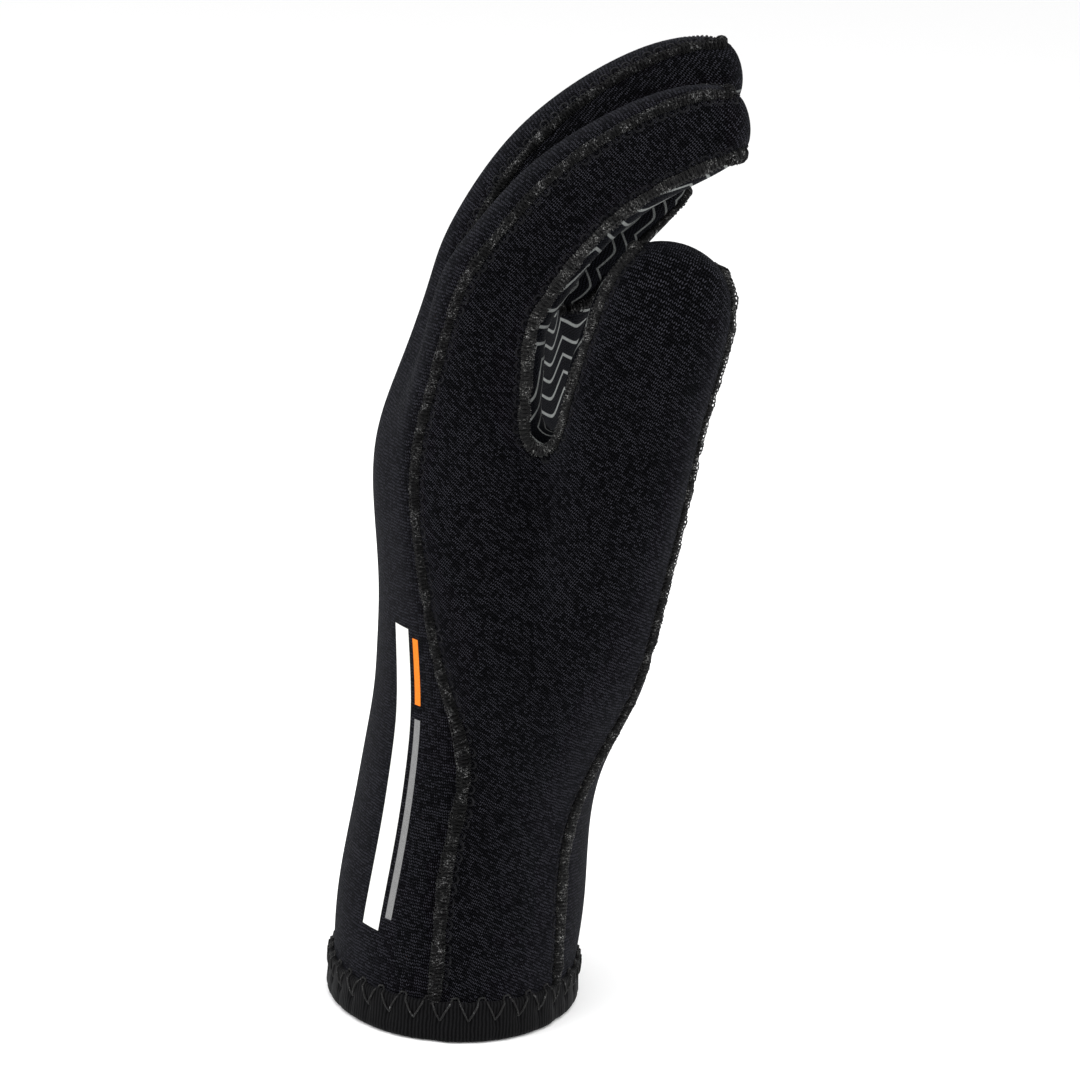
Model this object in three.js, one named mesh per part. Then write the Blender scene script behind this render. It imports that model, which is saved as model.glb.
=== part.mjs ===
// A preformed neoprene diving glove for the left hand, standing on its cuff.
// +Z runs from the cuff to the fingers, +X is the palm side and -Y the thumb side.
// The glove is a sewn shell: panels of even thickness meet edge to edge along the seams,
// and a folded binding closes the cuff. Lengths are millimetres and angles degrees.
import * as THREE from "three";

// The cloth. At a sharp corner a panel's edge stands back as if the corner were this much blunter.
const WALL = 3;
const SEAM_GAP = 0.3;
const SHARPEST_CORNER = 0.35;

// The cuff and its binding
const CUFF_DEPTH = 63.4;
const CUFF_BREADTH = 80;
const BINDING_HEIGHT = 10.5;
const BINDING_THICKNESS = 1.3;
const BINDING_CHAMFER = 1;

// The hand
const PALM_BREADTH = 92;
const PALM_THICKNESS = 34;
const PALM_OFFSET = -8.9;
const PALM_CUP = 17;
const PALM_CUP_SHIFT = 0.34;
const THUMB_CROTCH_HEIGHT = 150;
const FINGER_CROTCH_HEIGHT = 184;

// The fingers
const FINGER_LENGTH = 84;
const FINGER_WIDTH = 23;
const FINGER_THICKNESS = 29;
const FINGER_ROOT_OFFSET = 10;

// The thumb
const THUMB_LENGTH = 56;
const THUMB_WIDTH = 35.5;
const THUMB_THICKNESS = 28;
const THUMB_LEAN = 14;
const THUMB_ROOT_OFFSET = 34;

const SQUARENESS = 2.35;
const FIT_ROUNDS = 12;

// Sections of the cuff and the wrist. rise is a share of the thumb crotch's height, back and palm
// are shares of the cuff's depth, breadth of its breadth, and hand is how far the section has
// changed from an oval into the hand. The seams are in degrees round the oval from the thumb side.
// The second section is the binding's upper edge.
const BINDING_RISE = BINDING_HEIGHT / THUMB_CROTCH_HEIGHT;
const wristSections = [
  { rise: 0, back: 0.5, palm: 0.5, breadth: 1, hand: 0, backSeam: -7, palmSeam: 58 },
  { rise: BINDING_RISE, back: 0.494, palm: 0.5, breadth: 0.985, hand: 0, backSeam: -7, palmSeam: 57 },
  { rise: 0.18, back: 0.49, palm: 0.527, breadth: 0.94, hand: 0, backSeam: -7.5, palmSeam: 53 },
  { rise: 0.33, back: 0.439, palm: 0.528, breadth: 0.9, hand: 0, backSeam: -8.7, palmSeam: 52 },
  { rise: 0.47, back: 0.401, palm: 0.612, breadth: 0.93, hand: 0.05, backSeam: -7, palmSeam: 56 },
  { rise: 0.6, back: 0.373, palm: 0.767, breadth: 1, hand: 0.25, backSeam: -22.5, palmSeam: 47 },
  { rise: 0.73, back: 0.342, palm: 0.8, breadth: 1.07, hand: 0.55, backSeam: -29.5, palmSeam: 42 },
  { rise: 0.87, back: 0.421, palm: 0.81, breadth: 1.14, hand: 0.83, backSeam: -31, palmSeam: 42 },
];

// Each finger: place across the palm as a share of its breadth, root and length as shares of the
// middle finger's, the lean of its root and the curl to its tip, the swing of its plane towards
// the thumb and the roll of its palm side, then the outer sizes as shares of the named ones.
const fingers = [
  { name: "index", across: -0.375, out: 0.18, drop: -0.012, length: 0.96, lean: 22, curl: 58, swing: 1, roll: 4, width: 1, thickness: 1.03 },
  { name: "middle", across: -0.125, out: 0, drop: -0.018, length: 1.055, lean: 12.5, curl: 68, swing: 0, roll: 3, width: 1, thickness: 1.03 },
  { name: "ring", across: 0.125, out: 0.5, drop: 0, length: 0.905, lean: 21, curl: 59, swing: 1, roll: 8, width: 0.98, thickness: 0.95 },
  { name: "little", across: 0.37, out: 1.5, drop: 0.083, length: 0.59, lean: 32, curl: 20, swing: 4, roll: 24, width: 0.92, thickness: 0.86 },
];

// Sections along every finger. along is a share of its length, width and thickness are shares of
// the finger's own, and the seams are degrees from its back and from its palm side.
const fingerSections = [
  { along: 0, width: 1, thickness: 1, backSeam: 57, palmSeam: 46 },
  { along: 0.12, width: 0.91, thickness: 0.985, backSeam: 57, palmSeam: 45 },
  { along: 0.32, width: 0.9, thickness: 0.94, backSeam: 55, palmSeam: 48 },
  { along: 0.5, width: 0.89, thickness: 0.89, backSeam: 50, palmSeam: 51 },
  { along: 0.68, width: 0.86, thickness: 0.84, backSeam: 43, palmSeam: 54 },
  { along: 0.85, width: 0.79, thickness: 0.76, backSeam: 29, palmSeam: 54 },
  { along: 0.95, width: 0.58, thickness: 0.56, backSeam: 26, palmSeam: 42 },
];

// Sections along the thumb, as the fingers' are. turn is the degrees round the thumb of each of
// its eight columns: from the edge that faces the index finger, over the outer face and back.
const thumbSections = [
  { along: 0.25, width: 1, thickness: 1 },
  { along: 0.5, width: 0.985, thickness: 0.97 },
  { along: 0.74, width: 0.94, thickness: 0.9 },
  { along: 0.91, width: 0.68, thickness: 0.66 },
];
const thumbTurns = [25, 65, 100, 138, 176, 226, 283, 340];
const thumbRootTurns = [72, 106, 142, 176, 230];

// The thumb's root: its place across the palm as a share of the palm's breadth, and its outer
// sizes as shares of the thumb's own.
const thumbBase = { across: -0.39, width: 1.06, thickness: 1.03 };

// The web between thumb and index finger is a trough with a row of points on each side of its
// floor. reach is a share of the thumb's root offset, across of the palm's breadth and lift of
// the thumb crotch's height.
const web = {
  handFront: { reach: 0.35, across: -0.47, lift: 1.032 },
  handMiddle: { reach: 0.47, across: -0.34, lift: 1.05 },
  handPalm: { reach: 0.39, across: -0.18, lift: 1.01 },
  thumbFront: { reach: 0.55, across: -0.47, lift: 1.032 },
  thumbMiddle: { reach: 0.65, across: -0.34, lift: 1.04 },
  thumbPalm: { reach: 0.53, across: -0.22, lift: 0.99 },
};

// The columns across the palm and the back at the thumb crotch, as shares of the palm's breadth.
const palmColumns = [-0.42, -0.36, -0.25, -0.125, 0, 0.125, 0.25, 0.375, 0.445];

// Each panel is kept in simple pieces: its cuff, up to this share of the thumb crotch's height,
// its hand, and one piece for each finger and the thumb.
const CUFF_TOP = 0.48;

// Columns of the body's sections, in order from the back seam round the thumb side and the palm.
const THUMB_COLUMNS = 7;
const PALM_COLUMNS = 10;
const BACK_COLUMNS = 9;

const rad = THREE.MathUtils.degToRad;
const vec = (x, y, z) => new THREE.Vector3(x, y, z);
const lerp = THREE.MathUtils.lerp;
const mix = (a, b, t) => a.clone().lerp(b, t);

// A share of a half width at an angle, on a curve a little squarer than an ellipse.
const squared = (value) => Math.sign(value) * Math.abs(value) ** (2 / SQUARENESS);

// The cage is a coarse net of four-sided faces whose vertices lie on the finished surface.
const targets = [];
const faces = [];
const panels = [];

function place(point) {
  targets.push(point);
  return targets.length - 1;
}

function face(panel, ...corners) {
  faces.push(corners);
  panels.push(panel);
}

// Joins two rings of vertices with a band of faces; panelOf names the piece of each column.
function band(lower, upper, panelOf) {
  lower.forEach((_, i) => {
    const next = (i + 1) % lower.length;
    face(panelOf(i), lower[i], lower[next], upper[next], upper[i]);
  });
}

// The direction, palm side and little-finger side of a finger or thumb that leans, swings and rolls.
function axes(lean, swing, roll) {
  const along = vec(Math.sin(lean) * Math.cos(swing), -Math.sin(lean) * Math.sin(swing), Math.cos(lean));
  const palm = vec(Math.cos(lean) * Math.cos(swing), -Math.cos(lean) * Math.sin(swing), -Math.sin(lean));
  const side = vec(Math.sin(swing), Math.cos(swing), 0);
  palm.applyAxisAngle(along, roll);
  side.applyAxisAngle(along, roll);
  return { along, palm, side };
}

// The middle of a finger at a share of its length: its path is an arc from its lean through its curl.
function fingerMiddle(finger, share) {
  const [lean, curl, swing] = [rad(finger.lean), rad(finger.curl), rad(finger.swing)];
  const radius = (finger.length * FINGER_LENGTH) / curl;
  const turned = lean + curl * share;
  const out = radius * (Math.cos(lean) - Math.cos(turned));
  const up = radius * (Math.sin(turned) - Math.sin(lean));
  return vec(
    finger.out * FINGER_ROOT_OFFSET + out * Math.cos(swing),
    finger.across * PALM_BREADTH - out * Math.sin(swing),
    FINGER_CROTCH_HEIGHT - finger.drop * FINGER_LENGTH + up,
  );
}

// The eight points of a finger's section: back seam, thumb side, palm seam, palm, palm seam,
// little-finger side, back seam and back.
function fingerRing(finger, section) {
  const middle = fingerMiddle(finger, section.along);
  const { palm, side } = axes(rad(finger.lean + finger.curl * section.along), rad(finger.swing), rad(finger.roll * section.along));
  const halfWidth = (finger.width * section.width * FINGER_WIDTH) / 2;
  const halfThickness = (finger.thickness * section.thickness * FINGER_THICKNESS) / 2;
  const [back, front] = [section.backSeam, 180 - section.palmSeam];
  return [-back, -90, -front, 180, front, 90, back, 0].map((turn) =>
    middle
      .clone()
      .addScaledVector(side, halfWidth * squared(Math.sin(rad(turn))))
      .addScaledVector(palm, -halfThickness * squared(Math.cos(rad(turn)))),
  );
}

// A tube of eight columns along its sections, closed by a cap of four faces round the tip.
function tube(root, rings, tip, panelOf, capPanel) {
  let lower = root;
  for (const ring of rings) {
    const upper = ring.map(place);
    band(lower, upper, panelOf);
    lower = upper;
  }
  const end = place(tip);
  for (const i of [0, 2, 4, 6]) face(capPanel, end, lower[i], lower[i + 1], lower[(i + 2) % 8]);
}

// The hand's outline at the thumb crotch: a flat oval, cupped towards the little finger.
function palmPoint(across, isBack) {
  const y = across * PALM_BREADTH;
  const share = Math.min(1, Math.abs(2 * across));
  const x = (PALM_THICKNESS / 2) * (1 - share ** SQUARENESS) ** (1 / SQUARENESS);
  const middle = PALM_OFFSET + PALM_CUP * (2 * across + PALM_CUP_SHIFT) ** 2;
  return vec(middle + (isBack ? -x : x), y, THUMB_CROTCH_HEIGHT);
}

function webPoint({ reach, across, lift }) {
  return vec(reach * THUMB_ROOT_OFFSET, across * PALM_BREADTH, lift * THUMB_CROTCH_HEIGHT);
}

function thumbPoint(share, width, thickness, turn) {
  const { along, palm, side } = axes(rad(THUMB_LEAN), 0, 0);
  return vec(THUMB_ROOT_OFFSET, thumbBase.across * PALM_BREADTH, THUMB_CROTCH_HEIGHT)
    .addScaledVector(along, share * THUMB_LENGTH)
    .addScaledVector(palm, -(width / 2) * THUMB_WIDTH * squared(Math.cos(rad(turn))))
    .addScaledVector(side, -(thickness / 2) * THUMB_THICKNESS * squared(Math.sin(rad(turn))));
}

// The body's section at the thumb crotch, from the back seam round by the thumb and the palm.
function crotchSection() {
  const back = palmColumns.map((across) => palmPoint(across, true));
  const palm = palmColumns.map((across) => palmPoint(across, false));
  const thumb = thumbRootTurns.map((turn) => thumbPoint(0, thumbBase.width, thumbBase.thickness, turn));
  return [
    back[0],
    palmPoint(-0.5, false),
    webPoint(web.handFront),
    webPoint(web.thumbFront),
    ...thumb,
    webPoint(web.thumbPalm),
    webPoint(web.handPalm),
    ...palm.slice(3),
    palmPoint(0.5, false),
    ...back.slice(1).reverse(),
  ];
}

// A section of the cuff or wrist: an oval with its columns spread between the two seams,
// which changes into the crotch's section as hand goes to 1.
function wristSection(row, crotch, edge) {
  const spread = (from, to, count) => Array.from({ length: count }, (_, i) => lerp(from, to, i / count));
  const turns = [
    ...spread(row.backSeam, row.palmSeam, THUMB_COLUMNS),
    ...spread(row.palmSeam, 360 + row.backSeam, PALM_COLUMNS + BACK_COLUMNS),
  ];
  const halfDepth = ((row.palm + row.back) / 2) * CUFF_DEPTH;
  const middle = ((row.palm - row.back) / 2) * CUFF_DEPTH;
  const halfBreadth = (row.breadth / 2) * CUFF_BREADTH;
  const height = Math.max(edge, row.rise * THUMB_CROTCH_HEIGHT);
  return turns.map((turn, i) => {
    const oval = vec(middle + halfDepth * Math.sin(rad(turn)), -halfBreadth * Math.cos(rad(turn)), height);
    const hand = crotch[i].clone().setZ(height);
    return mix(oval, hand, row.hand);
  });
}

// Builds the whole cage and returns the number of columns round the cuff.
function buildCage() {
  const bodyPanel = (i) => (i < THUMB_COLUMNS ? "side" : i < THUMB_COLUMNS + PALM_COLUMNS ? "palm" : "back");
  const crotch = crotchSection();
  const edge = BINDING_THICKNESS + SEAM_GAP;
  let lower = null;
  for (const row of wristSections) {
    const ring = wristSection(row, crotch, edge).map(place);
    const part = row.rise > CUFF_TOP ? "hand" : "cuff";
    if (lower) band(lower, ring, (i) => `${bodyPanel(i)}_${part}`);
    lower = ring;
  }
  const crotchRing = crotch.map(place);
  band(lower, crotchRing, (i) => `${bodyPanel(i)}_hand`);

  // The thumb and the hand part at the web, whose floor lies between their two rings.
  const [handFront, thumbFront, thumbPalm, handPalm] = [2, 3, 9, 10].map((i) => crotchRing[i]);
  const thumbMiddle = place(webPoint(web.thumbMiddle));
  const handMiddle = place(webPoint(web.handMiddle));
  face("palm_hand", handFront, thumbFront, thumbMiddle, handMiddle);
  face("palm_hand", handMiddle, thumbMiddle, thumbPalm, handPalm);
  const thumbRoot = [...crotchRing.slice(3, 10), thumbMiddle];
  const thumbRings = thumbSections.map(({ along, width, thickness }) =>
    thumbTurns.map((turn) => thumbPoint(along, width, thickness, turn)),
  );
  tube(thumbRoot, thumbRings, thumbPoint(1, 0, 0, 0), (i) => (i < 4 ? "side_thumb" : "palm_thumb"), "side_thumb");

  const handRoot = [crotchRing[0], crotchRing[1], handFront, handMiddle, handPalm, ...crotchRing.slice(11)];
  const handPanel = (i) => (i < 2 ? "side_hand" : i < 11 ? "palm_hand" : "back_hand");

  // The fingers' roots meet in one ring, with a crotch between each two of them.
  const roots = fingers.map((finger) => fingerRing(finger, fingerSections[0]));
  const shared = (k, a, b) => mix(roots[k][a], roots[k + 1][b], 0.5);
  const backEdges = [roots[0][0], roots[0][7]];
  const palmEdges = [roots[0][2], roots[0][3]];
  for (const k of [0, 1, 2]) {
    backEdges.push(shared(k, 6, 0), roots[k + 1][7]);
    palmEdges.push(shared(k, 4, 2), roots[k + 1][3]);
  }
  backEdges.push(roots[3][6]);
  palmEdges.push(roots[3][4]);
  const rootPoints = [backEdges[0], roots[0][1], ...palmEdges, roots[3][5], ...backEdges.slice(1).reverse()];
  const knuckles = rootPoints.map((point, i) => mix(targets[handRoot[i]], point, 0.5)).map(place);
  const rootRing = rootPoints.map(place);
  band(handRoot, knuckles, handPanel);
  band(knuckles, rootRing, handPanel);

  const crotches = [0, 1, 2].map((k) => place(shared(k, 5, 1)));
  const back = (i) => (i === 0 ? rootRing[0] : rootRing[20 - i]);
  const palm = (i) => rootRing[2 + i];
  const sides = [rootRing[1], ...crotches, rootRing[11]];
  const strips = ["side_index", "fourchette_index_middle", "fourchette_middle_ring", "fourchette_ring_little"];
  fingers.forEach((finger, k) => {
    const i = 2 * k;
    const root = [back(i), sides[k], palm(i), palm(i + 1), palm(i + 2), sides[k + 1], back(i + 2), back(i + 1)];
    const [palmPanel, backPanel, outer] = [`palm_${finger.name}`, `back_${finger.name}`, strips[k + 1]];
    const columns = [strips[k], strips[k], palmPanel, palmPanel, outer ?? palmPanel, outer ?? backPanel, backPanel, backPanel];
    const rings = fingerSections.slice(1).map((section) => fingerRing(finger, section));
    tube(root, rings, fingerMiddle(finger, 1), (column) => columns[column], strips[k]);
  });
  return crotchRing.length;
}

// The neighbours of each vertex: along edges, across faces, and on an open border.
function neighbours(count, quads) {
  const edges = Array.from({ length: count }, () => new Map());
  const across = Array.from({ length: count }, () => []);
  for (const quad of quads)
    quad.forEach((vertex, i) => {
      for (const other of [quad[(i + 1) % 4], quad[(i + 3) % 4]])
        edges[vertex].set(other, (edges[vertex].get(other) ?? 0) + 1);
      across[vertex].push(quad[(i + 2) % 4]);
    });
  return { edges, across };
}

// Where each vertex of a net comes to lie once the net is subdivided without end.
function limitPoints(points, quads) {
  const { edges, across } = neighbours(points.length, quads);
  return points.map((point, v) => {
    const border = [...edges[v]].filter(([, uses]) => uses === 1).map(([other]) => other);
    const limit = vec(0, 0, 0);
    if (border.length) {
      limit.addScaledVector(point, 4);
      for (const other of border) limit.add(points[other]);
      return limit.divideScalar(6);
    }
    const n = edges[v].size;
    limit.addScaledVector(point, n * n);
    for (const other of edges[v].keys()) limit.addScaledVector(points[other], 4);
    for (const other of across[v]) limit.add(points[other]);
    return limit.divideScalar(n * (n + 5));
  });
}

// Moves the net's vertices until its smooth surface passes through the given points.
function fitNet(goals, quads) {
  let net = goals.map((goal) => goal.clone());
  for (let round = 0; round < FIT_ROUNDS; round++) {
    const limits = limitPoints(net, quads);
    net = net.map((point, v) => point.clone().add(goals[v]).sub(limits[v]));
  }
  return net;
}

// One round of smooth subdivision: each face becomes four, and keeps its panel.
function subdivide(points, quads, quadPanels) {
  const average = (list) => list.reduce((sum, p) => sum.add(p), vec(0, 0, 0)).divideScalar(list.length);
  const centres = quads.map((quad) => average(quad.map((v) => points[v])));
  const edgeFaces = new Map();
  const key = (a, b) => (a < b ? `${a},${b}` : `${b},${a}`);
  quads.forEach((quad, f) =>
    quad.forEach((a, i) => {
      const b = quad[(i + 1) % 4];
      if (!edgeFaces.has(key(a, b))) edgeFaces.set(key(a, b), { a, b, around: [] });
      edgeFaces.get(key(a, b)).around.push(f);
    }),
  );
  const sums = points.map(() => ({ faces: [], middles: [], border: [] }));
  const made = [];
  const edgePoint = new Map();
  for (const [name, { a, b, around }] of edgeFaces) {
    const middle = average([points[a], points[b]]);
    for (const v of [a, b]) {
      sums[v].middles.push(middle);
      if (around.length === 1) sums[v].border.push(middle);
    }
    edgePoint.set(name, points.length + made.length);
    made.push(around.length === 1 ? middle : average([points[a], points[b], ...around.map((f) => centres[f])]));
  }
  quads.forEach((quad, f) => quad.forEach((v) => sums[v].faces.push(centres[f])));
  const moved = points.map((point, v) => {
    const { faces: around, middles, border } = sums[v];
    if (border.length) return mix(point, average(border), 0.5);
    const n = around.length;
    return average(around).addScaledVector(average(middles), 2).addScaledVector(point, n - 3).divideScalar(n);
  });
  const centreStart = points.length + made.length;
  const finer = [];
  const finerPanels = [];
  quads.forEach((quad, f) =>
    quad.forEach((v, i) => {
      const next = edgePoint.get(key(v, quad[(i + 1) % 4]));
      const before = edgePoint.get(key(v, quad[(i + 3) % 4]));
      finer.push([v, next, centreStart + f, before]);
      finerPanels.push(quadPanels[f]);
    }),
  );
  return { points: [...moved, ...made, ...centres], quads: finer, quadPanels: finerPanels };
}

function vertexNormals(points, quads) {
  const normals = points.map(() => vec(0, 0, 0));
  for (const quad of quads) {
    const [a, b, c, d] = quad.map((v) => points[v]);
    const normal = c.clone().sub(a).cross(d.clone().sub(b));
    for (const v of quad) normals[v].add(normal);
  }
  return normals.map((normal) => normal.normalize());
}

// The border of a panel: each border vertex with the way into the panel along the surface.
function panelBorder(quads, points, normals) {
  const uses = new Map();
  quads.forEach((quad) => quad.forEach((a, i) => uses.set(`${a},${quad[(i + 1) % 4]}`, [a, quad[(i + 1) % 4]])));
  const border = [...uses.values()].filter(([a, b]) => !uses.has(`${b},${a}`));
  const inward = new Map();
  for (const [a, b] of border) {
    const edge = points[b].clone().sub(points[a]).normalize();
    for (const v of [a, b]) {
      const way = normals[v].clone().cross(edge).normalize();
      inward.set(v, (inward.get(v) ?? vec(0, 0, 0)).add(way));
    }
  }
  return { border, inward };
}

// A panel as a closed solid: its outer face, the same face one wall further in, and its cut edges,
// which stand back from the seams by half the gap.
function panelSolid(quads, points, normals, openEdge) {
  const { border, inward } = panelBorder(quads, points, normals);
  const index = new Map();
  const positions = [];
  const used = [...new Set(quads.flat())];
  used.forEach((v, i) => index.set(v, i));
  const outer = used.map((v) => {
    const point = points[v].clone();
    const way = inward.get(v);
    if (way && openEdge(v)) point.addScaledVector(way.setZ(0), SEAM_GAP / 2);
    else if (way) {
      const reach = Math.max(way.length() / 2, SHARPEST_CORNER);
      point.addScaledVector(way.normalize(), SEAM_GAP / 2 / reach);
    }
    return point;
  });
  const inner = outer.map((point, i) => {
    const normal = normals[used[i]].clone();
    if (openEdge(used[i])) normal.setZ(0).normalize();
    return point.clone().addScaledVector(normal, -WALL);
  });
  for (const point of [...outer, ...inner]) positions.push(point.x, point.y, point.z);
  const triangles = [];
  for (const quad of quads) {
    const [a, b, c, d] = quad.map((v) => index.get(v));
    const far = used.length;
    triangles.push(a, b, c, a, c, d);
    triangles.push(far + a, far + c, far + b, far + a, far + d, far + c);
  }
  for (const [from, to] of border) {
    const [a, b] = [index.get(from), index.get(to)];
    const far = used.length;
    if (from < to) triangles.push(a, far + a, b, b, far + a, far + b);
    else triangles.push(a, far + a, far + b, a, far + b, b);
  }
  const geometry = new THREE.BufferGeometry();
  geometry.setAttribute("position", new THREE.Float32BufferAttribute(positions, 3));
  geometry.setIndex(triangles);
  return geometry;
}

// The binding folds round the cuff's edge: one leg outside, one inside, joined under the edge.
// rows are the surface's first rows, each with the column's point and normal.
function bindingSolid(rows) {
  const near = SEAM_GAP;
  const far = SEAM_GAP + BINDING_THICKNESS;
  const [edge, mid, top] = [0, 1, 2];
  const profile = [
    { row: edge, off: far - BINDING_CHAMFER, floor: true },
    { row: edge, off: far },
    { row: mid, off: far },
    { row: top, off: far },
    { row: top, off: near },
    { row: mid, off: near },
    { row: edge, off: near, under: true },
    { row: edge, off: -WALL - near, under: true },
    { row: mid, off: -WALL - near },
    { row: top, off: -WALL - near },
    { row: top, off: -WALL - far },
    { row: mid, off: -WALL - far },
    { row: edge, off: -WALL - far },
    { row: edge, off: -WALL - far + BINDING_CHAMFER, floor: true },
  ];
  const columns = rows[0].length;
  const positions = [];
  for (let column = 0; column < columns; column++)
    for (const { row, off, floor, under } of profile) {
      const { point, normal } = rows[row][column];
      const flat = normal.clone().setZ(0).normalize();
      const placed = point.clone().addScaledVector(flat, off);
      if (floor) placed.z = 0;
      if (under) placed.z = BINDING_THICKNESS;
      positions.push(placed.x, placed.y, placed.z);
    }
  const triangles = [];
  const size = profile.length;
  for (let column = 0; column < columns; column++) {
    const [here, there] = [column * size, ((column + 1) % columns) * size];
    for (let i = 0; i < size; i++) {
      const next = (i + 1) % size;
      triangles.push(here + i, there + i, there + next, here + i, there + next, here + next);
    }
  }
  const geometry = new THREE.BufferGeometry();
  geometry.setAttribute("position", new THREE.Float32BufferAttribute(positions, 3));
  geometry.setIndex(triangles);
  return geometry;
}

const cuffColumns = buildCage();
const net = fitNet(targets, faces);
const fine = subdivide(net, faces, panels);
const surface = limitPoints(fine.points, fine.quads);
const normals = vertexNormals(surface, fine.quads);

// The cuff's open edge, and the rows of vertices above it, walked from face to face.
const cuffHeight = Math.min(...surface.map((point) => point.z));
const isOpenEdge = (v) => surface[v].z < cuffHeight + 1e-6;
const { edges: cuffLinks } = neighbours(surface.length, fine.quads);
function rowsAboveCuff(count) {
  const first = [0];
  while (first.length < 2 * cuffColumns) {
    const last = first[first.length - 1];
    const ahead = fine.quads.find((quad) => isOpenEdge(last) && quad.includes(last) && isOpenEdge(quad[(quad.indexOf(last) + 1) % 4]));
    first.push(ahead[(ahead.indexOf(last) + 1) % 4]);
  }
  const rows = [first];
  while (rows.length < count) {
    const below = new Set(rows.slice(-2).flat());
    const current = rows[rows.length - 1];
    const beside = new Set(current);
    rows.push(current.map((v) => [...cuffLinks[v].keys()].find((other) => !below.has(other) && !beside.has(other))));
  }
  return rows.map((row) => row.map((v) => ({ point: surface[v], normal: normals[v] })));
}

const neoprene = new THREE.MeshStandardMaterial({ color: 0x14141a, roughness: 0.85, metalness: 0 });
const printedNeoprene = new THREE.MeshStandardMaterial({ color: 0x1b1c22, roughness: 0.8, metalness: 0 });
const bindingTape = new THREE.MeshStandardMaterial({ color: 0x1d1d1e, roughness: 0.9, metalness: 0 });

const glove = new THREE.Group();
for (const name of new Set(fine.quadPanels)) {
  const quads = fine.quads.filter((_, f) => fine.quadPanels[f] === name);
  const material = /^(palm|fourchette)/.test(name) ? printedNeoprene : neoprene;
  const mesh = new THREE.Mesh(panelSolid(quads, surface, normals, isOpenEdge), material);
  mesh.name = name;
  glove.add(mesh);
}
const binding = new THREE.Mesh(bindingSolid(rowsAboveCuff(3)), bindingTape);
binding.name = "cuff_binding";
glove.add(binding);

// The origin is on the floor, under the middle of the glove's own box.
const box = new THREE.Box3().setFromObject(glove);
glove.position.set(-(box.min.x + box.max.x) / 2, -(box.min.y + box.max.y) / 2, 0);

export default glove;
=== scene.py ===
import bisect
import math
import random

import bmesh
import bpy
from mathutils import Matrix, Vector, noise
from mathutils.kdtree import KDTree


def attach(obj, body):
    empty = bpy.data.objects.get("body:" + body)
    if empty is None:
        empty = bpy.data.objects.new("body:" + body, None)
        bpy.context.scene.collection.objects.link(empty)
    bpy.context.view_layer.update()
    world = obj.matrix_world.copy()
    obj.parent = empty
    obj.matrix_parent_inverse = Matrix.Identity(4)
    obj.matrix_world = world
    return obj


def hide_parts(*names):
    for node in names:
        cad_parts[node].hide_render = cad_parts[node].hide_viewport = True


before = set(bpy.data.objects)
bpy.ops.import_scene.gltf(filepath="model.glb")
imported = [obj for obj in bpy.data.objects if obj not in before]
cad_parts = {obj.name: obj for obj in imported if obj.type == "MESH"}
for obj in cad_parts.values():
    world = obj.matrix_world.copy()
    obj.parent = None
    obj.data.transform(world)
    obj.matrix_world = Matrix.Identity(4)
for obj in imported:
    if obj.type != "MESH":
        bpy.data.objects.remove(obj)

MM = 0.001
WALL = 3 * MM
SAME_PLACE = 1e-6
SEAM_MERGE = 0.6 * MM
FINGERS = ("index", "middle", "ring", "little")
PANEL_NODES = {
    "back": ["back_cuff", "back_hand"] + ["back_" + finger for finger in FINGERS],
    "side": ["side_cuff", "side_hand", "side_thumb", "side_index"],
    "palm": ["palm_cuff", "palm_hand", "palm_thumb"] + ["palm_" + finger for finger in FINGERS],
    "index_middle_strip": ["fourchette_index_middle"],
    "middle_ring_strip": ["fourchette_middle_ring"],
    "ring_little_strip": ["fourchette_ring_little"],
}
PANELS = list(PANEL_NODES)
STRIPS = [panel for panel in PANELS if panel.endswith("strip")]
PANEL_MARKS = [bpy.data.materials.new("mark_" + panel) for panel in PANELS]

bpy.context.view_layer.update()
for left_over in ("Cube", "Light", "Camera"):
    if left_over in bpy.data.objects:
        bpy.data.objects.remove(bpy.data.objects[left_over])


def deselect_all():
    bpy.ops.object.select_all(action="DESELECT")


def activate(obj):
    deselect_all()
    obj.select_set(True)
    bpy.context.view_layer.objects.active = obj


def add_object(name, data):
    obj = bpy.data.objects.new(name, data)
    bpy.context.scene.collection.objects.link(obj)
    return obj


def apply_modifier(obj, kind, name, **settings):
    activate(obj)
    modifier = obj.modifiers.new(name, kind)
    for key, value in settings.items():
        setattr(modifier, key, value)
    bpy.ops.object.modifier_apply(modifier=modifier.name)


def outward(obj):
    """Turns the faces of closed shapes outwards."""
    mesh = bmesh.new()
    mesh.from_mesh(obj.data)
    bmesh.ops.recalc_face_normals(mesh, faces=mesh.faces)
    mesh.to_mesh(obj.data)
    mesh.free()


# The camera, at the height and distance of the photograph
CAMERA_DISTANCE = 0.9
CAMERA_ELEVATION = math.radians(13)
CAMERA_ROLL = math.radians(3)
CAMERA_TARGET = Vector((0, 0, 0.125))
SENSOR_WIDTH = 36
FOCAL_PIXELS = 3560
FRAME_PIXELS = 1080
CENTRE_PIXELS = (531, 525)


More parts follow.
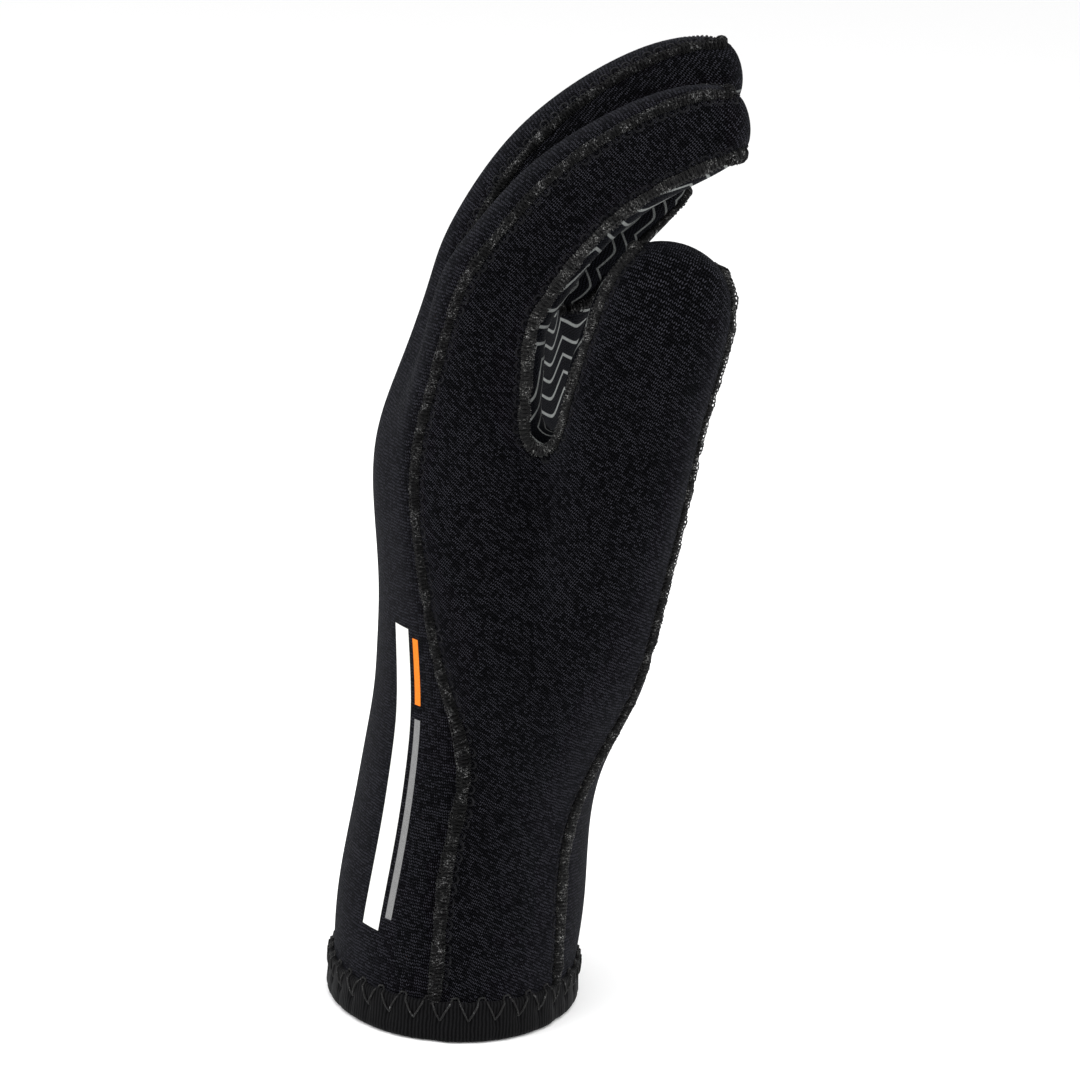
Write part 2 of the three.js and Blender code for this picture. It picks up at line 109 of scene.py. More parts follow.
def make_camera():
    data = bpy.data.cameras.new("camera")
    camera = add_object("camera", data)
    ahead = Vector((0, math.cos(CAMERA_ELEVATION), -math.sin(CAMERA_ELEVATION)))
    right = Vector((1, 0, 0))
    up = right.cross(ahead)
    turned_right = right * math.cos(CAMERA_ROLL) + up * math.sin(CAMERA_ROLL)
    turned_up = up * math.cos(CAMERA_ROLL) - right * math.sin(CAMERA_ROLL)
    place = Matrix((turned_right, turned_up, -ahead)).transposed().to_4x4()
    place.translation = CAMERA_TARGET - ahead * CAMERA_DISTANCE
    camera.matrix_world = place
    data.sensor_width = SENSOR_WIDTH
    data.lens = FOCAL_PIXELS / FRAME_PIXELS * data.sensor_width
    data.shift_x = (FRAME_PIXELS / 2 - CENTRE_PIXELS[0]) / FRAME_PIXELS
    data.shift_y = (CENTRE_PIXELS[1] - FRAME_PIXELS / 2) / FRAME_PIXELS
    data.clip_end = 20
    bpy.context.scene.camera = camera


# The studio: soft lights as name, place, size in metres and power, and a pale floor
LIGHTS = (
    ("light_left", (-1.2, -0.5, 0.7), (0.8, 1.4), 14),
    ("light_right", (1.2, -0.3, 0.6), (0.8, 1.4), 10),
    ("light_top", (0, -0.3, 1.5), (1.4, 1.0), 12),
)
FLOOR_SIZE = 12
FLOOR_DROP = 0.2 * MM
FLOOR_WHITE = 0.95


def soft_light(name, place, size, power):
    data = bpy.data.lights.new(name, "AREA")
    data.shape = "RECTANGLE"
    data.size, data.size_y = size
    data.energy = power
    light = add_object(name, data)
    light.location = place
    light.rotation_euler = (CAMERA_TARGET - light.location).to_track_quat("-Z", "Y").to_euler()


def make_studio():
    world = bpy.data.worlds.new("studio")
    bpy.context.scene.world = world
    world.use_nodes = True
    background = world.node_tree.nodes["Background"]
    background.inputs["Color"].default_value = (1, 1, 1, 1)
    background.inputs["Strength"].default_value = 1.0
    bpy.context.scene.view_settings.view_transform = "Standard"
    for light in LIGHTS:
        soft_light(*light)
    deselect_all()
    bpy.ops.mesh.primitive_plane_add(size=FLOOR_SIZE, location=(0, 0, -FLOOR_DROP))
    floor = bpy.context.object
    floor.name = "floor"
    paint = bpy.data.materials.new("floor_paint")
    paint.use_nodes = True
    shader = paint.node_tree.nodes["Principled BSDF"]
    shader.inputs["Base Color"].default_value = (FLOOR_WHITE, FLOOR_WHITE, FLOOR_WHITE, 1)
    shader.inputs["Roughness"].default_value = 0.9
    floor.data.materials.append(paint)


make_camera()
make_studio()


# The skin: the outer faces of all the panels, sewn edge to edge
def wall_edges(mesh):
    """Edges as long as the wall is thick, which join the outer face of a panel to its lining."""
    return {edge for edge in mesh.edges if abs(edge.calc_length() - WALL) < SAME_PLACE}


def cut_edge_faces(mesh):
    """The triangles of the panel's cut edge: two side by side hold two wall edges that don't meet."""
    walls = wall_edges(mesh)
    cut = set()
    for edge in mesh.edges:
        if len(edge.link_faces) != 2:
            continue
        one, other = edge.link_faces
        found = [{e for e in face.edges if e in walls and e is not edge} for face in (one, other)]
        for here in found[0]:
            for there in found[1]:
                if here is not there and not set(here.verts) & set(there.verts):
                    cut.update((one, other))
    return cut


def connected_groups(faces):
    left = set(faces)
    groups = []
    while left:
        group = {left.pop()}
        border = list(group)
        while border:
            face = border.pop()
            for edge in face.edges:
                for other in edge.link_faces:
                    if other in left:
                        left.discard(other)
                        group.add(other)
                        border.append(other)
        groups.append(group)
    return groups


def outer_faces(mesh, neighbours):
    """The outer face of a panel is the larger of its two faces. A strip between two fingers is
    hollow-sided, so there it is the face whose border meets the outer faces beside it."""
    cut = cut_edge_faces(mesh)
    groups = sorted(connected_groups(set(mesh.faces) - cut), key=len)[-2:]
    if neighbours is None:
        return max(groups, key=lambda group: sum(face.calc_area() for face in group))

    def distance(group):
        verts = {vert for face in group for vert in face.verts}
        border = [vert for vert in verts if any(face in cut for face in vert.link_faces)]
        return sum(neighbours.find(vert.co)[2] for vert in border)

    return min(groups, key=distance)


def copy_outer_face(node, panel, neighbours=None):
    mesh = bmesh.new()
    mesh.from_mesh(bpy.data.objects[node].data)
    bmesh.ops.remove_doubles(mesh, verts=mesh.verts, dist=SAME_PLACE)
    keep = outer_faces(mesh, neighbours)
    bmesh.ops.delete(mesh, geom=[face for face in mesh.faces if face not in keep], context="FACES")
    for face in mesh.faces:
        face.material_index = PANELS.index(panel)
    data = bpy.data.meshes.new(node + "_outer")
    for mark in PANEL_MARKS:
        data.materials.append(mark)
    mesh.to_mesh(data)
    mesh.free()
    return add_object(node + "_outer", data)


def place_tree(places):
    tree = KDTree(len(places))
    for number, place in enumerate(places):
        tree.insert(place, number)
    tree.balance()
    return tree


def square_net(mesh):
    """Takes out the diagonals: of a triangle's three corners only one lies on no diagonal."""
    middle = {}
    seed = next(vert for vert in mesh.verts if not vert.is_boundary and len(vert.link_edges) == 4)
    middle[seed] = True
    waiting = list(seed.link_faces)
    done = set(waiting)
    while waiting:
        face = waiting.pop(0)
        known = [vert for vert in face.verts if vert in middle]
        if any(middle[vert] for vert in known):
            for vert in face.verts:
                middle.setdefault(vert, False)
        elif len(known) == 2:
            for vert in face.verts:
                middle.setdefault(vert, True)
        else:
            waiting.append(face)
            continue
        for edge in face.edges:
            for other in edge.link_faces:
                if other not in done:
                    done.add(other)
                    waiting.append(other)
    diagonals = [edge for edge in mesh.edges if not any(middle[vert] for vert in edge.verts)]
    bmesh.ops.dissolve_edges(mesh, edges=diagonals, use_verts=False)


def make_skin():
    sheets = [panel for panel in PANELS if panel not in STRIPS]
    copies = [copy_outer_face(node, panel) for panel in sheets for node in PANEL_NODES[panel]]
    neighbours = place_tree([vert.co for copy in copies for vert in copy.data.vertices])
    for panel in STRIPS:
        copies += [copy_outer_face(node, panel, neighbours) for node in PANEL_NODES[panel]]
    deselect_all()
    for copy in copies:
        copy.select_set(True)
    bpy.context.view_layer.objects.active = copies[0]
    bpy.ops.object.join()
    skin = bpy.context.object
    skin.name = "skin"
    mesh = bmesh.new()
    mesh.from_mesh(skin.data)
    bmesh.ops.remove_doubles(mesh, verts=mesh.verts, dist=SEAM_MERGE)
    square_net(mesh)
    for edge in mesh.edges:
        sides = {face.material_index for face in edge.link_faces}
        edge.seam = len(sides) == 2
    mesh.to_mesh(skin.data)
    mesh.free()
    apply_modifier(skin, "SUBSURF", "smooth", levels=2, render_levels=2)
    return skin


# The seams: lines of edges between two panels, from one meeting of seams to the next
BEAD_STEP = 0.5 * MM
SMOOTHING_ROUNDS = 6


class SeamLine:
    """A seam's evenly spaced points with the skin's normal and the way across at each."""

    def __init__(self, panels, points, normals):
        self.panels = panels
        self.points, self.normals = even_steps(smoothed(points), normals, BEAD_STEP)
        last = len(self.points) - 1
        self.along = [
            (self.points[min(i + 1, last)] - self.points[max(i - 1, 0)]).normalized()
            for i in range(last + 1)
        ]
        self.across = [a.cross(n).normalized() for a, n in zip(self.along, self.normals)]
        self.length = BEAD_STEP * last

    def at(self, distance):
        """The point at a distance, with the ways along, across and out of the cloth there."""
        share = min(max(distance / BEAD_STEP, 0), len(self.points) - 1.001)
        i = int(share)
        t = share - i
        tracks = (self.points, self.along, self.across, self.normals)
        return tuple(track[i].lerp(track[i + 1], t) for track in tracks)


def smoothed(points):
    """Evens out the small corners of a line of points and keeps its two ends."""
    line = [point.copy() for point in points]
    for _ in range(SMOOTHING_ROUNDS):
        inside = [
            line[i] * 0.5 + (line[i - 1] + line[i + 1]) * 0.25 for i in range(1, len(line) - 1)
        ]
        line = [line[0]] + inside + [line[-1]]
    return line


def even_steps(points, normals, step):
    places, ways = [points[0]], [normals[0]]
    left = step
    for i in range(len(points) - 1):
        start, end = points[i], points[i + 1]
        length = (end - start).length
        while left <= length:
            t = left / length
            places.append(start.lerp(end, t))
            ways.append(normals[i].lerp(normals[i + 1], t).normalized())
            left += step
        left -= length
    return places, ways


def seam_lines(skin):
    mesh = bmesh.new()
    mesh.from_mesh(skin.data)
    mesh.normal_update()
    beside = {}
    for edge in mesh.edges:
        sides = sorted({face.material_index for face in edge.link_faces})
        if len(sides) == 2:
            for vert in edge.verts:
                beside.setdefault(vert, []).append((edge, tuple(sides)))
    done = set()
    lines = []
    starts = [vert for vert, links in beside.items() if len(links) != 2 or links[0][1] != links[1][1]]
    for start in sorted(starts, key=lambda vert: vert.index):
        for edge, sides in beside[start]:
            if edge in done:
                continue
            walk = [start]
            while edge:
                done.add(edge)
                walk.append(edge.other_vert(walk[-1]))
                ahead = [e for e, s in beside[walk[-1]] if e not in done and s == sides]
                end = len(beside[walk[-1]]) != 2 or len(ahead) != 1
                edge = None if end else ahead[0]
            names = tuple(PANELS[side] for side in sides)
            lines.append(SeamLine(names, [v.co.copy() for v in walk], [v.normal.copy() for v in walk]))
    mesh.free()
    return lines


# The seams pull the cloth in along them, with small puckers
PINCH_REACH = 4.5 * MM
PINCH_DEPTH = 0.55 * MM
PUCKER_STEP = 5.5 * MM
PUCKER_SHARE = 0.45


def pinch_seams(skin, lines):
    marks = [(line, i) for line in lines for i in range(len(line.points))]
    tree = place_tree([line.points[i] for line, i in marks])
    for vert in skin.data.vertices:
        place, number, distance = tree.find(vert.co)
        if distance < PINCH_REACH:
            line, i = marks[number]
            share = (1 - distance / PINCH_REACH) ** 1.5
            ripple = math.sin(2 * math.pi * i * BEAD_STEP / PUCKER_STEP) * (1 - share)
            vert.co -= line.normals[i] * (PINCH_DEPTH * share * (1 + PUCKER_SHARE * ripple))
    for line in lines:
        line.points = [point - normal * PINCH_DEPTH for point, normal in zip(line.points, line.normals)]


skin = make_skin()
lines = seam_lines(skin)
pinch_seams(skin, lines)


# Nodes, and the effects that several materials share
COLOUR_MIX_INPUTS = (0, 6, 7)
COLOUR_MIX_RESULT = 2


class Nodes:
    """Short words for placing nodes in one tree and joining them."""

    def __init__(self, tree):
        self.tree = tree

    def add(self, kind, **settings):
        node = self.tree.nodes.new(kind)
        for key, value in settings.items():
            setattr(node, key, value)
        return node

    def join(self, source, target):
        self.tree.links.new(source, target)

    def feed(self, socket, value):
        if isinstance(value, bpy.types.NodeSocket):
            self.join(value, socket)
        else:
            socket.default_value = (*value, 1) if socket.type == "RGBA" else value

    def maths(self, operation, *values):
        node = self.add("ShaderNodeMath", operation=operation)
        for socket, value in zip(node.inputs, values):
            self.feed(socket, value)
        return node.outputs[0]

    def blend(self, share, first, second):
        node = self.add("ShaderNodeMix", data_type="RGBA")
        for number, value in zip(COLOUR_MIX_INPUTS, (share, first, second)):
            self.feed(node.inputs[number], value)
        return node.outputs[COLOUR_MIX_RESULT]

    def ramp(self, value, low, high, first=0.0, last=1.0):
        node = self.add("ShaderNodeMapRange", interpolation_type="SMOOTHSTEP")
        labels = ("Value", "From Min", "From Max", "To Min", "To Max")
        for label, number in zip(labels, (value, low, high, first, last)):
            self.feed(node.inputs[label], number)
        return node.outputs["Result"]

    def split(self, vector):
        node = self.add("ShaderNodeSeparateXYZ")
        self.join(vector, node.inputs[0])
        return node.outputs

    def noise(self, vector, scale, detail=2.0, roughness=0.6):
        node = self.add("ShaderNodeTexNoise")
        labels = ("Vector", "Scale", "Detail", "Roughness")
        for label, value in zip(labels, (vector, scale, detail, roughness)):
            self.feed(node.inputs[label], value)
        return node.outputs["Fac"]

    def place(self, group, **values):
        node = self.add("ShaderNodeGroup", node_tree=group)
        for label, value in values.items():
            self.feed(node.inputs[label], value)
        return node.outputs


def new_group(name, inputs, outputs):
    """An empty shader node group with named sockets: its nodes, what enters and what leaves."""
    group = bpy.data.node_groups.new(name, "ShaderNodeTree")
    for label, kind in inputs.items():
        group.interface.new_socket(label, in_out="INPUT", socket_type="NodeSocket" + kind)
    for label, kind in outputs.items():
        group.interface.new_socket(label, in_out="OUTPUT", socket_type="NodeSocket" + kind)
    n = Nodes(group)
    return n, n.add("NodeGroupInput").outputs, n.add("NodeGroupOutput").inputs


# The jersey knit, in millimetres along the cloth
KNIT_COLUMN = 0.95
KNIT_ROW = 0.8
KNIT_WANDER = 0.9
LEG_SLANT = -0.75
KNIT_RELIEF = 0.25 * MM
# The knit's colour in the hollows between stitches, painted shade, and on the raised stitches, painted
# highlight
KNIT_HOLLOW_SHADE = (0.0005, 0.0005, 0.0007)
KNIT_STITCH_GLINT = (0.027, 0.0268, 0.0335)


def make_knit():
    """Jersey knit: columns of small V stitches, painted highlight on the raised yarn, some brighter than
    others by luck, and painted shade in the hollows.
    """
    n, given, result = new_group(
        "jersey_knit",
        {"Cloth": "Vector", "Column": "Float", "Row": "Float", "Hollow_shade": "Color", "Glint": "Color"},
        {"Height": "Float", "Stitch": "Float", "Colour": "Color"},
    )
    cloth = given["Cloth"]
    place = n.split(cloth)
    wander = n.maths("MULTIPLY", n.maths("SUBTRACT", n.noise(cloth, 0.35, 1.0), 0.5), KNIT_WANDER)
    column = n.maths("DIVIDE", n.maths("ADD", place[0], wander), given["Column"])
    off_middle = n.maths("ABSOLUTE", n.maths("SUBTRACT", n.maths("FRACT", column), 0.5))
    off_middle = n.maths("MULTIPLY", off_middle, 2.0)
    row = n.maths("DIVIDE", n.maths("ADD", place[1], wander), given["Row"])
    row = n.maths("ADD", row, n.maths("MULTIPLY", off_middle, LEG_SLANT))
    leg = n.maths("SINE", n.maths("MULTIPLY", off_middle, math.pi))
    loop = n.maths("SINE", n.maths("MULTIPLY", n.maths("FRACT", row), math.pi))
    height = n.maths("MULTIPLY", n.maths("POWER", leg, 0.6), n.maths("POWER", loop, 0.7))
    stitch = n.ramp(height, 0.6, 1.0)
    single = n.add("ShaderNodeCombineXYZ")
    n.join(n.maths("FLOOR", column), single.inputs[0])
    n.join(n.maths("FLOOR", row), single.inputs[1])
    luck = n.add("ShaderNodeTexWhiteNoise", noise_dimensions="2D")
    n.join(single.outputs[0], luck.inputs["Vector"])
    # The colour follows the stitches' height: painted highlight on the raised stitches, brighter or
    # dimmer at random, and painted shade in the hollows
    tone = n.ramp(n.noise(cloth, 0.05, 3.0), 0.3, 0.75, 0.75, 1.15)
    share = n.maths("MULTIPLY", stitch, tone)
    share = n.maths("MULTIPLY", share, n.ramp(luck.outputs["Value"], 0.0, 1.0, 0.2, 1.5))
    n.join(height, result["Height"])
    n.join(stitch, result["Stitch"])
    n.join(n.blend(share, given["Hollow_shade"], given["Glint"]), result["Colour"])
    return n.tree


def make_fuzz():
    """Short pale specks, as of thread fibres. The place is in metres on the object."""
    n, given, result = new_group(
        "thread_fuzz",
        {"Place": "Vector", "Dark": "Color", "Pale": "Color"},
        {"Height": "Float", "Colour": "Color"},
    )
    fine = n.noise(given["Place"], 2600, 2.0, 0.7)
    broad = n.noise(given["Place"], 420, 2.0, 0.6)
    speck = n.maths("MULTIPLY", n.ramp(fine, 0.5, 0.72), n.ramp(broad, 0.42, 0.72))
    n.join(fine, result["Height"])
    n.join(n.blend(speck, given["Dark"], given["Pale"]), result["Colour"])
    return n.tree


# The grip print: waves across the palm side, in millimetres along the cloth
WAVE_PITCH = 5.0
WAVE_WIDTH = 15.0
WAVE_HEIGHT = 5.8
WAVE_ROUNDING = 0.07
LINE_HALF = 0.45
PRINT_GREY = (0.21, 0.22, 0.215)
PRINT_GROUND = (0.011, 0.0118, 0.0155)
STRIP_WAVES = 0.72
# The print's lines on the strips between the fingers, darker than on the palm: painted shade between the
# fingers
STRIP_SHADED_GREY = (0.1, 0.105, 0.103)


def make_waves():
    """Lines in rounded waves. Size scales the waves, and Bend is the height of a wave at a place."""
    n, given, result = new_group(
        "grip_waves", {"Cloth": "Vector", "Size": "Float"}, {"Line": "Float", "Bend": "Float"}
    )
    place = [n.maths("DIVIDE", part, given["Size"]) for part in list(n.split(given["Cloth"]))[:2]]
    across = n.maths("FRACT", n.maths("DIVIDE", place[0], WAVE_WIDTH))
    peak = n.maths("MULTIPLY", n.maths("ABSOLUTE", n.maths("SUBTRACT", across, 0.5)), 2.0)
    bend = n.maths("SQRT", n.maths("ADD", n.maths("MULTIPLY", peak, peak), WAVE_ROUNDING))
    along = n.maths("SUBTRACT", place[1], n.maths("MULTIPLY", bend, WAVE_HEIGHT))
    row = n.maths("FRACT", n.maths("DIVIDE", along, WAVE_PITCH))
    off = n.maths("MULTIPLY", n.maths("ABSOLUTE", n.maths("SUBTRACT", row, 0.5)), WAVE_PITCH)
    line = n.ramp(off, LINE_HALF * 0.75, LINE_HALF * 1.25, 1.0, 0.0)
    worn = n.ramp(n.noise(given["Cloth"], 1.6, 3.0), 0.25, 0.5, 0.55, 1.0)
    n.join(n.maths("MULTIPLY", line, worn), result["Line"])
    n.join(bend, result["Bend"])
    return n.tree


def make_ink():
    """Printed cloth: a smoother ground on the stitches with the knit's painted shade in the hollows
    between them, and lines of ink on it, where Printed says so.
    """
    n, given, result = new_group(
        "grip_ink",
        {
            "Cloth": "Color",
            "Stitch": "Float",
            "Printed": "Float",
            "Line": "Float",
            "Hollow_shade": "Color",
            "Ground": "Color",
            "Ink": "Color",
        },
        {"Colour": "Color"},
    )
    # The ground is the print's colour on the stitches and painted shade in the hollows between them
    ground = n.blend(given["Stitch"], given["Hollow_shade"], given["Ground"])
    ground = n.blend(given["Printed"], given["Cloth"], ground)
    line = n.maths("MULTIPLY", given["Line"], given["Printed"])
    n.join(n.blend(line, ground, given["Ink"]), result["Colour"])
    return n.tree


KNIT = make_knit()
FUZZ = make_fuzz()
WAVES = make_waves()
INK = make_ink()


# Materials
NEOPRENE_FINISH = {
    "Roughness": 0.7,
    "Specular IOR Level": 0.012,
    "Sheen Weight": 0.035,
    "Sheen Roughness": 0.3,
    "Sheen Tint": (0.62, 0.66, 0.8),
}
THREAD_FINISH = {
    "Roughness": 0.8,
    "Specular IOR Level": 0.08,
    "Sheen Roughness": 0.4,
    "Sheen Tint": (0.8, 0.8, 0.8),
}
TAPE_FINISH = {
    "Roughness": 0.7,
    "Specular IOR Level": 0.03,
    "Sheen Weight": 0.05,
    "Sheen Roughness": 0.35,
    "Sheen Tint": (0.8, 0.8, 0.82),
}


def new_material(name, finish):
    paint = bpy.data.materials.new(name)
    paint.use_nodes = True
    n = Nodes(paint.node_tree)
    shader = paint.node_tree.nodes["Principled BSDF"]
    for label, value in finish.items():
        n.feed(shader.inputs[label], value)
    return paint, n, shader


def cloth_millimetres(n):
    uv = n.add("ShaderNodeUVMap", uv_map="cloth")
    scaled = n.add("ShaderNodeVectorMath", operation="SCALE")
    n.join(uv.outputs[0], scaled.inputs[0])
    scaled.inputs["Scale"].default_value = 1 / MM
    return scaled.outputs[0]


def object_place(n):
    return n.add("ShaderNodeTexCoord").outputs["Object"]


def bump(n, shader, height, strength, distance):
    node = n.add("ShaderNodeBump")
    n.join(height, node.inputs["Height"])
    node.inputs["Strength"].default_value = strength
    node.inputs["Distance"].default_value = distance
    n.join(node.outputs[0], shader.inputs["Normal"])


def make_neoprene(name, printed=None):
    paint, n, shader = new_material(name, NEOPRENE_FINISH)
    cloth = cloth_millimetres(n)
    knit = n.place(KNIT, Cloth=cloth, Column=KNIT_COLUMN, Row=KNIT_ROW, Hollow_shade=KNIT_HOLLOW_SHADE, Glint=KNIT_STITCH_GLINT)
    colour = printed(n, cloth, knit) if printed else knit["Colour"]
    n.join(colour, shader.inputs["Base Color"])
    bump(n, shader, knit["Height"], 0.8, KNIT_RELIEF)
    return paint


# Where the grip print lies: on the palm from the wrist up, and on a strip where it faces the thumb
# and is on the palm side of the arc of the fingers
PRINT_FLOOR = 100 * MM
PRINT_SOFTNESS = 0.3 * MM
ARC_CENTRE = (58.7 * MM, 169.3 * MM)
ARC_RADIUS = 71 * MM
ARC_SOFTNESS = 0.5 * MM
THUMB_SIDE = "thumb_side"


def palm_extent(n, bend):
    """The print's lower edge runs in waves as its lines do."""
    height = n.split(object_place(n))[2]
    height = n.maths("SUBTRACT", height, n.maths("MULTIPLY", bend, WAVE_HEIGHT * MM))
    return n.ramp(height, PRINT_FLOOR - PRINT_SOFTNESS, PRINT_FLOOR)


def strip_extent(n, bend):
    place = n.split(object_place(n))
    across = n.maths("SUBTRACT", place[0], ARC_CENTRE[0])
    up = n.maths("SUBTRACT", place[2], ARC_CENTRE[1])
    squares = n.maths("ADD", n.maths("MULTIPLY", across, across), n.maths("MULTIPLY", up, up))
    inside = n.ramp(n.maths("SQRT", squares), ARC_RADIUS, ARC_RADIUS + ARC_SOFTNESS, 1.0, 0.0)
    facing = n.add("ShaderNodeAttribute", attribute_name=THUMB_SIDE).outputs["Fac"]
    return n.maths("MULTIPLY", inside, n.ramp(facing, 0.0, 0.15))


def grip_print(extent, size, ink):
    def printed_lines(n, cloth, knit):
        waves = n.place(WAVES, Cloth=cloth, Size=size)
        inked = n.place(
            INK,
            Cloth=knit["Colour"],
            Stitch=knit["Stitch"],
            Printed=extent(n, waves["Bend"]),
            Line=waves["Line"],
            Hollow_shade=KNIT_HOLLOW_SHADE,
            Ground=PRINT_GROUND,
            Ink=ink,
        )
        return inked["Colour"]

    return printed_lines


# Plain stripes on the back of the cuff, in millimetres along the cloth from the stripes' foot:
# middle and half width across, lowest and highest along, and the ink
STRIPES = (
    (-0.5, 3.1, 0.0, 82.0, (0.8, 0.8, 0.78)),
    (5.2, 1.0, 4.0, 58.0, (0.2, 0.2, 0.2)),
    (5.2, 1.0, 62.0, 80.0, (0.8, 0.2, 0.02)),
)
STRIPE_FOOT = Vector((-36, -26, 24)) * MM
STRIPE_LEAN = math.radians(-2)
STRIPE_SOFTNESS = 0.08


def stripes_at(foot):
    def plain_stripes(n, cloth, knit):
        turn = n.add("ShaderNodeMapping", vector_type="TEXTURE")
        n.join(cloth, turn.inputs[0])
        turn.inputs["Location"].default_value = (foot[0] / MM, foot[1] / MM, 0)
        turn.inputs["Rotation"].default_value = (0, 0, STRIPE_LEAN)
        place = n.split(turn.outputs[0])
        colour = knit["Colour"]
        for middle, half, low, high, ink in STRIPES:
            side = n.maths("SUBTRACT", half, n.maths("ABSOLUTE", n.maths("SUBTRACT", place[0], middle)))
            ends = [n.maths("SUBTRACT", place[1], low), n.maths("SUBTRACT", high, place[1])]
            within = n.maths("MINIMUM", side, n.maths("MINIMUM", *ends))
            colour = n.blend(n.ramp(within, -STRIPE_SOFTNESS, STRIPE_SOFTNESS), colour, ink)
        return colour

    return plain_stripes


THREAD_RELIEF = 0.2 * MM


def make_thread(name, dark, pale, sheen):
    paint, n, shader = new_material(name, {**THREAD_FINISH, "Sheen Weight": sheen})
    fuzz = n.place(FUZZ, Place=object_place(n), Dark=dark, Pale=pale)
    n.join(fuzz["Colour"], shader.inputs["Base Color"])
    bump(n, shader, fuzz["Height"], 0.6, THREAD_RELIEF)
    return paint


# The binding tape has fine ribs across it, in millimetres along the cloth
RIB_PITCH = 0.9
RIB_WANDER = 0.8
TAPE_RELIEF = 0.2 * MM
# The tape's colour in its grooves, painted shade, and on its ribs, painted highlight
TAPE_GROOVE_SHADE = (0.0012, 0.0012, 0.0014)
TAPE_RIB_HIGHLIGHT = (0.0065, 0.0065, 0.007)


def make_tape():
    paint, n, shader = new_material("binding_tape", TAPE_FINISH)
    cloth = cloth_millimetres(n)
    wander = n.maths("MULTIPLY", n.noise(cloth, 0.3, 2.0), RIB_WANDER)
    across = n.maths("ADD", n.split(cloth)[0], wander)
    rib = n.maths("SINE", n.maths("MULTIPLY", across, 2 * math.pi / RIB_PITCH))
    rib = n.maths("ADD", n.maths("MULTIPLY", rib, 0.5), 0.5)
    grain = n.noise(cloth, 2.2, 3.0)
    height = n.maths("ADD", n.maths("MULTIPLY", rib, 0.7), n.maths("MULTIPLY", grain, 0.6))
    # The colour follows the height: rib tops painted paler as painted highlight, grooves darker as
    # painted shade, and the grain adds tone at random
    n.join(n.blend(n.ramp(height, 0.3, 1.1), TAPE_GROOVE_SHADE, TAPE_RIB_HIGHLIGHT), shader.inputs["Base Color"])
    bump(n, shader, height, 0.5, TAPE_RELIEF)
    return paint


NEOPRENE = make_neoprene("neoprene")
PRINTED = make_neoprene("printed_neoprene", grip_print(palm_extent, 1.0, PRINT_GREY))
PRINTED_STRIP = make_neoprene("printed_strip", grip_print(strip_extent, STRIP_WAVES, STRIP_SHADED_GREY))
BEAD_THREAD = make_thread("overlock_thread", (0.0025, 0.0025, 0.0027), (0.26, 0.26, 0.26), 0.05)
PALE_THREAD = make_thread("pale_overlock_thread", (0.007, 0.007, 0.0073), (0.4, 0.4, 0.39), 0.1)
HEM_THREAD = make_thread("hem_thread", (0.012, 0.012, 0.012), (0.15, 0.15, 0.15), 0.05)
PIT_LIP = make_thread("needle_lip", (0.004, 0.004, 0.005), (0.03, 0.03, 0.034), 0.05)
# The pits' holes are painted near black: painted shade in the needle holes
PIT_HOLE_SHADE = make_thread("needle_pit", (0.0008, 0.0008, 0.0008), (0.0012, 0.0012, 0.0012), 0.0)
TAPE = make_tape()


# The panels. The knit of the side panel runs across the hand at a slant, in degrees.
KNIT_ASKEW = {"side": -32}
NO_AREA = 1e-12


def lay_flat(piece, askew):
    """Unfolds a panel as its pattern was cut: real size, with up along the hand, turned askew."""
    activate(piece)
    piece.data.uv_layers.new(name="cloth")
    bpy.ops.object.mode_set(mode="EDIT")
    bpy.ops.mesh.select_all(action="SELECT")
    bpy.ops.uv.unwrap(method="ANGLE_BASED", margin=0)
    bpy.ops.object.mode_set(mode="OBJECT")
    mesh = bmesh.new()
    mesh.from_mesh(piece.data)
    layer = mesh.loops.layers.uv["cloth"]
    real = flat = 0
    rise = Vector((0, 0))
    for face in mesh.faces:
        corners = [loop[layer].uv.copy() for loop in face.loops]
        places = [loop.vert.co for loop in face.loops]
        a, b = corners[2] - corners[0], corners[3] - corners[1]
        up_a, up_b = places[2].z - places[0].z, places[3].z - places[1].z
        turn = a.cross(b)
        area = abs(turn) / 2
        flat += area
        real += face.calc_area()
        if abs(turn) > NO_AREA:
            slope = Vector((up_a * b.y - up_b * a.y, up_b * a.x - up_a * b.x)) / turn
            rise += slope * area
    size = math.sqrt(real / flat)
    up = rise.normalized()
    up.rotate(Matrix.Rotation(askew, 2))
    for face in mesh.faces:
        for loop in face.loops:
            uv = loop[layer].uv
            loop[layer].uv = (size * (uv.x * up.y - uv.y * up.x), size * (uv.x * up.x + uv.y * up.y))
    mesh.to_mesh(piece.data)
    mesh.free()


def cloth_point(piece, place):
    """The place on the flat pattern of the panel's corner nearest to a place."""
    best = min(piece.data.vertices, key=lambda vert: (vert.co - place).length_squared)
    layer = piece.data.uv_layers["cloth"].data
    loop = next(loop for loop in piece.data.loops if loop.vertex_index == best.index)
    return layer[loop.index].uv.copy()


def cut_out(panel):
    """A copy of the skin with only the faces of one panel."""
    data = skin.data.copy()
    mesh = bmesh.new()
    mesh.from_mesh(data)
    number = PANELS.index(panel)
    others = [face for face in mesh.faces if face.material_index != number]
    bmesh.ops.delete(mesh, geom=others, context="FACES")
    for face in mesh.faces:
        face.material_index = 0
        face.smooth = True
    for edge in mesh.edges:
        edge.seam = False
    mesh.to_mesh(data)
    mesh.free()
    data.materials.clear()
    return add_object(panel + "_cloth", data)


def panel_paint(panel, piece):
    if panel == "back":
        return make_neoprene("striped_neoprene", stripes_at(cloth_point(piece, STRIPE_FOOT)))
    return {"side": NEOPRENE, "palm": PRINTED}.get(panel, PRINTED_STRIP)


